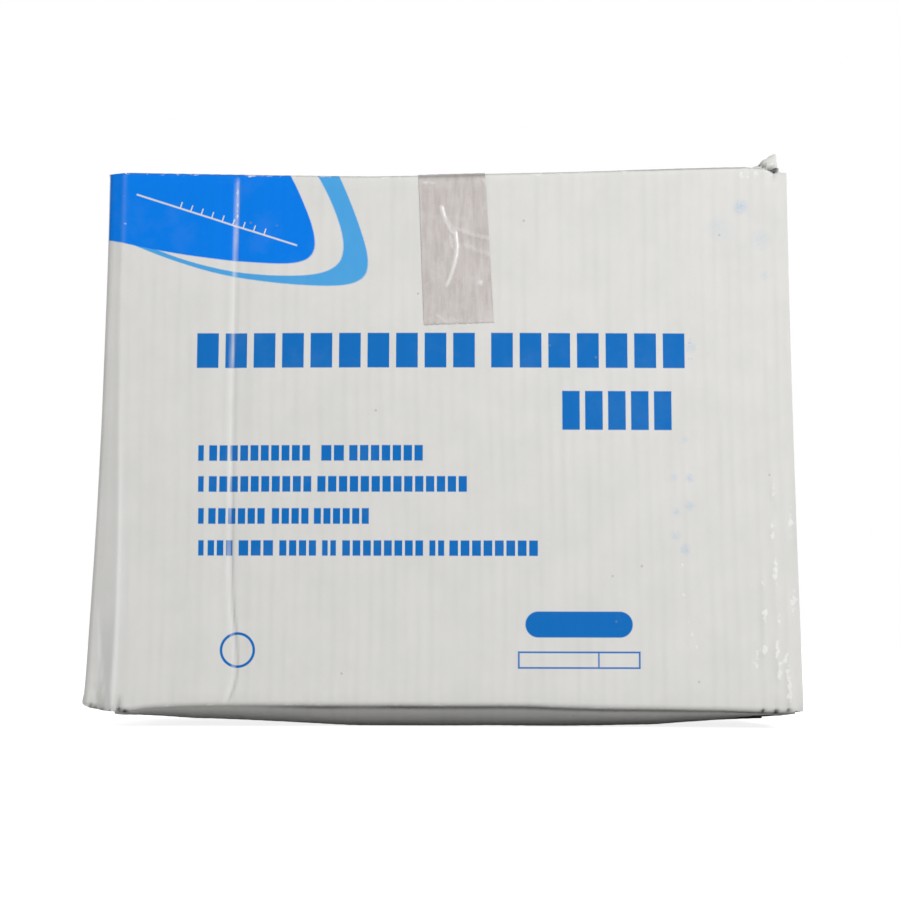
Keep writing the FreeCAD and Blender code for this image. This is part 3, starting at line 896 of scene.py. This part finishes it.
def front_print(tree, place, fine, coarse):
    """Masks of the printed shapes on the front and their inks, in the order that they are laid."""
    apart = node(tree, "SeparateXYZ", place)
    x = apart.node.outputs[0]
    z = apart.node.outputs[2]
    flat = node(tree, "CombineXYZ", x, 0.0, z)
    ragged = mapped(tree, fine, 0.3, 0.7, -0.06, 0.06)
    thinned = node(tree, "Math ADD", ragged, mapped(tree, x, -125.0, -175.0, 0.0, 1.9))
    arc_in = lens_mask(tree, flat, *ARC_INSIDE, ragged)
    arc = times(tree, lens_mask(tree, flat, *ARC_OUTSIDE, thinned), outside(tree, arc_in))
    # A slanted graduated line is left white in the field
    slanted = node(tree, "VectorMath SUBTRACT", flat, LINE_PLACE)
    slant = math.radians(LINE_SLANT)
    slanted = node(tree, "VectorRotate", slanted, None, None, slant, rotation_type="Y_AXIS")
    local = node(tree, "Math ADD", node(tree, "SeparateXYZ", slanted), 10 * TICK_PITCH)
    tick = node(tree, "Math COMPARE", node(tree, "Math MODULO", local, TICK_PITCH), TICK_PITCH / 2, 0.32)
    tick = times(tree, tick, box_mask(tree, slanted, -24.0, 30.0, -0.4, 3.6))
    line = larger(tree, box_mask(tree, slanted, -46.0, 46.0, -0.45, 0.45), tick)
    field = times(tree, lens_mask(tree, flat, *FIELD, ragged), outside(tree, line))
    ring = mapped(tree, node(tree, "Math ABSOLUTE", disc_distance(tree, flat, *RING)), 0.85, 0.55)
    x0, x1, z0, z1 = BAR
    ends = [disc_distance(tree, flat, end, (z0 + z1) / 2, (z1 - z0) / 2) for end in (x0, x1)]
    ends = mapped(tree, node(tree, "Math MINIMUM", *ends), 0.25, -0.25)
    x0, x1, z0, z1 = OUTLINED_BOX
    inner = box_mask(tree, flat, x0 + OUTLINE, x1 - OUTLINE, z0 + OUTLINE, z1 - OUTLINE)
    outline = times(tree, box_mask(tree, flat, *OUTLINED_BOX), outside(tree, inner))
    divider = box_mask(tree, flat, *DIVIDER, z0, z1)
    text = print_rows_mask(tree, flat, x)
    for shape in (ring, box_mask(tree, flat, *BAR), ends, outline, divider):
        text = larger(tree, text, shape)
    # The print stops at the top fold, and the ink lies thinner in places and misses specks
    kept = mapped(tree, z, TOP - 0.5, TOP + 0.5, 1.0, 0.0)
    kept = times(tree, kept, mapped(tree, apart.node.outputs[1], -48.0, -50.0))
    kept = times(tree, kept, mapped(tree, coarse, 0.35, 0.5, 0.985, 1.0))
    kept = times(tree, kept, mapped(tree, fine, 0.76, 0.82, 1.0, 0.5))
    return [
        (times(tree, arc, kept), "pale_blue"),
        (times(tree, field, kept), "field_blue"),
        (times(tree, text, kept), "print_blue"),
        (times(tree, smudge_mask(tree, flat, fine), 0.5), "pale_blue"),
    ]


def white_liner(name, printed):
    """White-top kraft liner, clay coated: a smooth matt white that shows its flutes, rub marks and tears."""
    tree = new_material(name)
    place = place_in_mm(tree)
    blank = mark(tree, "blank", 1)
    wear, torn, tone = [mark(tree, kind) for kind in MARKS]
    fine = noisy(tree, place, 0.9, 3.0, 0.6)
    coarse = noisy(tree, place, 0.045, 4.0, 0.62)
    spots = noisy(tree, place, 0.33, 2.0, 0.5)
    # Each flute shows as a faint streak along its crown, stronger on some than on others
    turn = times(tree, node(tree, "SeparateXYZ", blank), 2 * math.pi / size("flute_pitch"))
    streak = node(tree, "Math COSINE", turn)
    stretched = node(tree, "VectorMath MULTIPLY", blank, (0.16, 0.012, 0.0))
    strength = mapped(tree, noisy(tree, stretched, 1.0, 3.0, 0.6), 0.4, 0.75, 0.0, 0.5)
    streak = times(tree, mapped(tree, streak, -0.8, 1.0), strength)
    colour = mixed(tree, streak, "white", "streak")
    colour = mixed(tree, mapped(tree, coarse, 0.38, 0.7, 0.0, 0.4), colour, "soiled")
    if printed:
        for mask, ink in front_print(tree, place, fine, coarse):
            colour = mixed(tree, mask, colour, ink)
    # Ink and coating are rubbed off in broken pale specks, down to bare paper where it is worst
    grit = node(tree, "Math ADD", wear, mapped(tree, spots, 0.3, 0.7, -0.5, 0.22))
    rubbed = mapped(tree, grit, 0.3, 0.6, 0.0, 0.9)
    # Painted shade: where the tone is below 0 the paper is painted darker towards the dark shade colour
    shade_share = times(tree, mapped(tree, tone, 0.0, -1.0), mapped(tree, fine, 0.25, 0.6, 0.75, 1.0))
    speck = node(tree, "TexVoronoi", place, None, 0.05)
    for share, kind in (
        (rubbed, "rubbed"),
        (mapped(tree, grit, 0.75, 0.95, 0.0, 0.55), "kraft"),
        (mapped(tree, torn, 0.35, 0.6), "kraft"),
        # Painted highlight: where the tone is above 0 the paper is painted lighter towards the rubbed colour
        (mapped(tree, tone, 0.0, 1.0), "rubbed"),
        (shade_share, "grime"),
        (mapped(tree, speck, 0.03, 0.045, 0.35, 0.0), "dust"),
    ):
        colour = mixed(tree, share, colour, kind)
    height = times(tree, noisy(tree, place, 2.2, 3.0, 0.7), mapped(tree, rubbed, 0.0, 1.0, 0.03, 0.16))
    rough = mapped(tree, coarse, 0.3, 0.7, 0.5, 0.62)
    surface(tree, colour, rough, height, 0.5, {"Specular IOR Level": 0.08})


def kraft_liner():
    """Bare kraft liner on the inside: dull brown paper with short fibres."""
    tree = new_material("kraft_liner")
    place = place_in_mm(tree)
    fibres = noisy(tree, place, 0.8, 4.0, 0.7)
    patches = mapped(tree, noisy(tree, place, 0.05, 3.0, 0.6), 0.4, 0.8, 0.0, 0.4)
    colour = mixed(tree, patches, mixed(tree, fibres, "kraft", "kraft_dark"), "kraft")
    surface(tree, colour, 0.85, times(tree, fibres, 0.1), 0.4, {"IOR": PAPER_IOR})


def cut_corrugated_edge():
    """Cut edge of B-flute board: two liners with the waved medium between, and painted shade in the hollows
    behind it.
    """
    tree = new_material("cut_corrugated_edge")
    fibres = noisy(tree, place_in_mm(tree), 1.6, 3.0, 0.7)
    apart = node(tree, "SeparateXYZ", mark(tree, "blank", 1))
    turn = times(tree, apart, 2 * math.pi / size("flute_pitch"))
    across = times(tree, apart.node.outputs[2], BOARD)
    wave = node(tree, "Math MULTIPLY_ADD", node(tree, "Math SINE", turn), MEDIUM_WAVE, BOARD / 2)
    away = node(tree, "Math ABSOLUTE", node(tree, "Math SUBTRACT", across, wave))
    slope = times(tree, node(tree, "Math COSINE", turn), MEDIUM_WAVE * 2 * math.pi / size("flute_pitch"))
    slope = node(tree, "Math SQRT", node(tree, "Math MULTIPLY_ADD", slope, slope, 1.0))
    medium = mapped(tree, node(tree, "Math DIVIDE", away, slope), 0.26, 0.14)
    side = node(tree, "Math ABSOLUTE", node(tree, "Math SUBTRACT", across, BOARD / 2))
    liners = mapped(tree, side, BOARD / 2 - 0.36, BOARD / 2 - 0.26)
    paper = larger(tree, larger(tree, medium, liners), mapped(tree, fibres, 0.52, 0.7, 0.0, 0.6))
    # Between the papers the flute hollows are painted dark, as painted shade
    colour = mixed(tree, paper, "hollow", mixed(tree, fibres, "kraft", "kraft_dark"))
    surface(tree, colour, 0.9, times(tree, paper, 0.5), 0.8, {"IOR": PAPER_IOR})


def packing_tape():
    """Polypropylene packing tape over white: a greyish film, pale where air is trapped, with a soft gloss."""
    tree = new_material("packing_tape")
    place = place_in_mm(tree)
    stretched = node(tree, "VectorMath MULTIPLY", mark(tree, "blank", 1), (0.35, 0.05, 0.0))
    streaks = noisy(tree, stretched, 1.0, 3.0, 0.6)
    mottle = noisy(tree, place, 0.11, 4.0, 0.6)
    fine = noisy(tree, place, 0.7, 3.0, 0.6)
    colour = mixed(tree, mapped(tree, streaks, 0.35, 0.65, 0.0, 0.8), "film", "film_dark")
    colour = mixed(tree, mapped(tree, mottle, 0.52, 0.68, 0.0, 0.55), colour, "film_pale")
    trapped = node(tree, "Math ADD", mark(tree, "wear"), mapped(tree, fine, 0.3, 0.7, -0.12, 0.12))
    colour = mixed(tree, mapped(tree, trapped, 0.1, 0.8, 0.0, 0.8), colour, "trapped_air")
    # Painted shade: where the tape's tone is below 0 it is painted darker, along the top fold and at its cut
    # end
    colour = mixed(tree, mapped(tree, mark(tree, "tone"), 0.0, -1.0), colour, "grime")
    rough = mapped(tree, mottle, 0.3, 0.7, 0.24, 0.38)
    gloss = {"IOR": 1.49, "Coat Weight": 0.25, "Coat Roughness": 0.15}
    surface(tree, colour, rough, times(tree, mottle, 0.25), 0.35, gloss)


# Lengths that a user may change, in millimetres
SIZES = (
    ("flute_pitch", "From one flute to the next, for B-flute board", 6.45),
    ("washboard", "Height of the ripple that the flutes leave in the liner", 0.045),
    ("tape_width", "Width of the packing tape", 37.5),
    ("tape_drop", "Length of the tape below the front fold", 85.5),
    ("tape_drop_back", "Length of the tape below the back fold", 74.0),
    ("tape_thickness", "Thickness of the packing tape", 0.25),
    ("tooth_depth", "Depth of the serrated ends of the tape", 1.3),
)
COLOURS = (
    ("white", "Coated white paper", "#E6E5E2"),
    ("streak", "White paper over the crown of a flute", "#D9D9D6"),
    ("soiled", "White paper that has been handled", "#D9D9D5"),
    # The rubbed colour is both real rubbed coating and the colour of the painted highlights along the crease
    # and the strip's bends
    ("rubbed", "Coating or ink rubbed off at an edge", "#F6F6F4"),
    ("dust", "Small specks of dirt", "#8F8F8E"),
    # Painted shade: this dark colour is painted along folds, in creases, under the flap and in the crushed
    # corners, where shade falls
    ("grime", "Dirt along folds and in creases", "#3C3B38"),
    ("kraft", "Bare brown paper", "#BFA07A"),
    ("kraft_dark", "Bare brown paper, darker fibres", "#94744F"),
    # Painted shade in the open flutes of a cut edge
    ("hollow", "Darkness inside a flute", "#2C2018"),
    ("field_blue", "Strong blue of the printed field", "#0080F0"),
    ("pale_blue", "Blue of the arc beside the field", "#4FA9E8"),
    ("print_blue", "Blue of the rows of print", "#1272C4"),
    ("film", "Packing tape over white paper", "#D2CBC8"),
    ("film_dark", "Packing tape where its glue is thicker", "#BDB5B1"),
    ("film_pale", "Packing tape that has come off the paper", "#D8D3D1"),
    ("trapped_air", "Wrinkles and bubbles in the tape", "#ECEAE9"),
)


def as_property(kind, name, text, value, **settings):
    """A property of the panel, which shows its name in plain words."""
    shown = name.replace("_", " ").capitalize()
    return kind(name=shown, description=text, default=value, **settings)


class CartonSizes(bpy.types.PropertyGroup):
    """Sizes of the board's relief and of the tape, in metres as Blender keeps them."""

    __annotations__ = {
        name: as_property(bpy.props.FloatProperty, name, text, value * MM, unit="LENGTH", precision=4)
        for name, text, value in SIZES
    }


class CartonFinish(bpy.types.PropertyGroup):
    """Colours of the paper, the ink and the tape."""

    __annotations__ = {
        name: as_property(
            bpy.props.FloatVectorProperty, name, text, paint(code), size=4, min=0.0, max=1.0, subtype="COLOR"
        )
        for name, text, code in COLOURS
    }


class CARTON_OT_paper(bpy.types.Operator):
    """Makes the papers of the carton"""

    bl_idname = "carton.paper"
    bl_label = "Papers"

    def execute(self, context):
        white_liner("printed_white_liner", True)
        white_liner("plain_white_liner", False)
        kraft_liner()
        cut_corrugated_edge()
        return {"FINISHED"}


# Runs of the outline in each sheet: the part, its columns, and the shares of it that they start and end at
FRONT_RUNS = (("edge bend", 5, 0.5, 1.0), ("outer facet", 4, 0.0, 1.0), ("inner facet", 4, 0.0, 1.0))
FRONT_RUNS += (("start bend", 4, 0.0, 1.0), ("front", 276, 0.0, 1.0))
LEFT_RUNS = (("left bend", 4, 0.5, 1.0), ("left end", 80, 0.0, 1.0), ("edge bend", 5, 0.0, 0.5))
RIGHT_RUNS = (("tab", 20, 0.0, 1.0), ("joint fold", 8, 0.0, 1.0))
RIGHT_RUNS += (("right end", 80, 0.0, 1.0), ("right bend", 4, 0.0, 0.5))
BACK_RUNS = (("right bend", 4, 0.5, 1.0), ("back", 280, 0.0, 1.0), ("left bend", 4, 0.0, 0.5))
# The sheets: name, runs, spacing of rows, seed and liner
SHEETS = (
    ("front_wall", FRONT_RUNS, 2.7, 1.0, "printed_white_liner"),
    ("left_end_wall", LEFT_RUNS, 2.9, 2.0, "plain_white_liner"),
    ("right_end_wall", RIGHT_RUNS, 2.9, 4.0, "plain_white_liner"),
    ("back_wall", BACK_RUNS, 2.7, 6.0, "plain_white_liner"),
)


class CARTON_OT_walls(bpy.types.Operator):
    """Builds the four walls with their flaps, the bent strip and the glued tab"""

    bl_idname = "carton.walls"
    bl_label = "Walls and flaps"

    def execute(self, context):
        for name, runs, spacing, seed, liner in SHEETS:
            wall_sheet(name, runs, spacing, seed, bpy.data.materials[liner])
        return {"FINISHED"}


class CARTON_OT_tape(bpy.types.Operator):
    """Lays the packing tape over the top folds and the seam"""

    bl_idname = "carton.tape"
    bl_label = "Packing tape"

    def execute(self, context):
        width = size("tape_width")
        thick = size("tape_thickness")
        tooth = size("tooth_depth")
        columns = range(64)
        drops = {"front": size("tape_drop"), "back": size("tape_drop_back")}
        reach = WALL_HEIGHT + FLAP_REACH
        rows = [("front", blend(WALL_HEIGHT - drops["front"], WALL_HEIGHT - FOLD, i / 90)) for i in range(90)]
        rows += [("front", WALL_HEIGHT - FOLD + 1.2 * i) for i in range(6)]
        rows += [("front", blend(WALL_HEIGHT + FOLD, reach, i / 36)) for i in range(37)]
        rows += [("back", blend(reach, WALL_HEIGHT + FOLD, i / 36)) for i in range(37)]
        rows += [("back", WALL_HEIGHT + FOLD - 1.2 * i) for i in range(1, 6)]
        rows += [("back", blend(WALL_HEIGHT - FOLD, WALL_HEIGHT - drops["back"], i / 76)) for i in range(77)]

        def place(i, j, share):
            side, v = rows[j]
            share_x = i / (len(columns) - 1)
            near = max(0.0, 1 - (v - WALL_HEIGHT + drops[side]) / 7)
            teeth = abs((share_x * width / TOOTH_PITCH) % 1 * 2 - 1)
            rag = 0.5 + 0.7 * wavy(share_x * width, 0.0, 4.0, 51.0)
            v += near * (tooth * teeth * rag + (1.3 * share_x if side == "front" else 0.0))
            below = max(0.0, WALL_HEIGHT - v)
            over = max(0.0, v - WALL_HEIGHT)
            slide = below - over if side == "front" else over - 2 * FLAP_REACH - below
            tuck = TAPE_TUCK * (1 - share_x) * max(0.0, 1 - abs(slide) / 80)
            x = TAPE_PLACE + TAPE_DRIFT * slide + (share_x - 0.5) * width + tuck
            z = FOOT + v
            margin = min(share_x, 1 - share_x) * width
            if side == "front":
                relief = tape_relief(x, z, v)
                wear = max(tape_wear(x, z), 0.3 * near * (0.7 + wavy(x, z, 4.0, 53.0)))
            else:
                relief = 0.08 * (1 + wavy(x, v, 9.0, 45.0))
                wear = 0.5 * near * (0.7 + wavy(x, z, 4.0, 53.0))
            lift = TAPE_CLEAR + relief * ramp(margin / 2 + 0.25) + thick * (1 - share)
            edge = min(v - WALL_HEIGHT + drops[side], 4.0)
            # Painted shade on the tape along the top fold and along its cut end
            tone = -0.6 * bell(over + below - 0.6, 1.8) - 0.12 * bell(edge, 1.5)
            return tape_point(side, x, v, lift), (x, v), (wear, 0.0, tone)

        packing_tape()
        tape = (bpy.data.materials["packing_tape"],) * 3
        solid_sheet("tape_strip", columns, rows, place, lambda i, j: False, "closing_tape", tape)
        return {"FINISHED"}


# Lights: name, place in metres, turn in degrees, width in metres and power in watts
LIGHTS = (
    ("key", (1.2, -1.6, 1.1), (61, 0, 37), 0.9, 26.2),
    ("fill", (-1.4, -1.5, 0.6), (77, 0, -43), 1.6, 7.6),
    ("top", (0.0, 0.3, 1.9), (0, 0, 0), 1.5, 3.0),
)
WHITE = (1.0, 1.0, 1.0, 1.0)
BLACK = (0.0, 0.0, 0.0, 1.0)
WORLD_LIGHT = 0.34
FLOOR_GLOW = 0.84  # only the camera sees it
FLOOR_HALF = 6.0
CAMERA_PLACE = (0.01218, -1.0, 0.04955)
CAMERA_TURN = 0.0087
CAMERA_TILT = 0.10386
CAMERA_ROLL = 0.00193
CAMERA_LENS = 70.7
SENSOR = 36.0


class CARTON_OT_stage(bpy.types.Operator):
    """Sets the pale floor, the soft lights, the white surroundings and the camera"""

    bl_idname = "carton.stage"
    bl_label = "Stage"

    def execute(self, context):
        scene = context.scene
        tree = new_material("pale_floor")
        grain = noisy(tree, node(tree, "TexCoord", out=3), 900.0, 2.0, 0.5)
        tone = mixed(tree, mapped(tree, grain, 0.3, 0.7), paint("#CECECE"), paint("#C8C8C8"))
        matt = node(tree, "BsdfPrincipled", tone, into={"Roughness": 0.9})
        dark = node(tree, "Emission", BLACK, 0.0)
        glow = node(tree, "Emission", WHITE, FLOOR_GLOW)
        seen = node(tree, "MixShader", node(tree, "LightPath"), dark, glow)
        node(tree, "OutputMaterial", node(tree, "AddShader", matt, seen))
        bm = bmesh.new()
        bmesh.ops.create_grid(bm, x_segments=1, y_segments=1, size=FLOOR_HALF)
        mesh = bpy.data.meshes.new("floor")
        bm.to_mesh(mesh)
        bm.free()
        mesh.materials.append(bpy.data.materials["pale_floor"])
        floor =bpy.data.objects.new("floor", mesh)
        scene.collection.objects.link(floor)

        world = bpy.data.worlds.new("studio")
        scene.world = world
        world.use_nodes = True
        tree = world.node_tree
        tree.nodes.clear()
        path = node(tree, "LightPath")
        seen = larger(tree, path, path.node.outputs["Is Glossy Ray"])
        seen = larger(tree, seen, path.node.outputs["Is Transmission Ray"])
        strength = mapped(tree, seen, 0.0, 1.0, WORLD_LIGHT, 1.0)
        node(tree, "OutputWorld", node(tree, "Background", WHITE, strength))

        for name, place, turn, width, power in LIGHTS:
            lamp = bpy.data.lights.new(name, "AREA")
            lamp.size = width
            lamp.energy = power
            light = bpy.data.objects.new(name, lamp)
            light.location = place
            light.rotation_euler = Euler([math.radians(angle) for angle in turn])
            scene.collection.objects.link(light)

        lens = bpy.data.cameras.new("camera")
        lens.lens = CAMERA_LENS
        lens.sensor_width = SENSOR
        camera = bpy.data.objects.new("camera", lens)
        eye = Matrix.Translation(CAMERA_PLACE) @ Matrix.Rotation(CAMERA_TURN, 4, "Z")
        tilt = Matrix.Rotation(math.radians(90) + CAMERA_TILT, 4, "X") @ Matrix.Rotation(CAMERA_ROLL, 4, "Z")
        camera.matrix_world = eye @ tilt
        scene.collection.objects.link(camera)
        scene.camera = camera
        scene.view_settings.view_transform = "Standard"
        return {"FINISHED"}


class CARTON_PT_panel(bpy.types.Panel):
    """Shows the carton's sizes and colours, and a button for each step that builds it"""

    bl_idname = "CARTON_PT_panel"
    bl_label = "Worn corrugated carton"
    bl_space_type = "VIEW_3D"
    bl_region_type = "UI"
    bl_category = "Carton"

    def draw(self, context):
        layout = self.layout
        for group in (context.scene.carton_sizes, context.scene.carton_finish):
            for name in group.__annotations__:
                layout.prop(group, name)
        for operator in OPERATORS:
            layout.operator(operator.bl_idname)


OPERATORS = (CARTON_OT_paper, CARTON_OT_walls, CARTON_OT_tape, CARTON_OT_stage)
CLASSES = (CartonSizes, CartonFinish) + OPERATORS + (CARTON_PT_panel,)


def register():
    for kind in CLASSES:
        bpy.utils.register_class(kind)
    bpy.types.Scene.carton_sizes = bpy.props.PointerProperty(type=CartonSizes)
    bpy.types.Scene.carton_finish = bpy.props.PointerProperty(type=CartonFinish)


def unregister():
    del bpy.types.Scene.carton_finish
    del bpy.types.Scene.carton_sizes
    for kind in reversed(CLASSES):
        bpy.utils.unregister_class(kind)


def main():
    register()
    bpy.ops.carton.paper()
    bpy.ops.carton.walls()
    bpy.ops.carton.tape()
    bpy.ops.carton.stage()


if __name__ == "__main__":
    main()
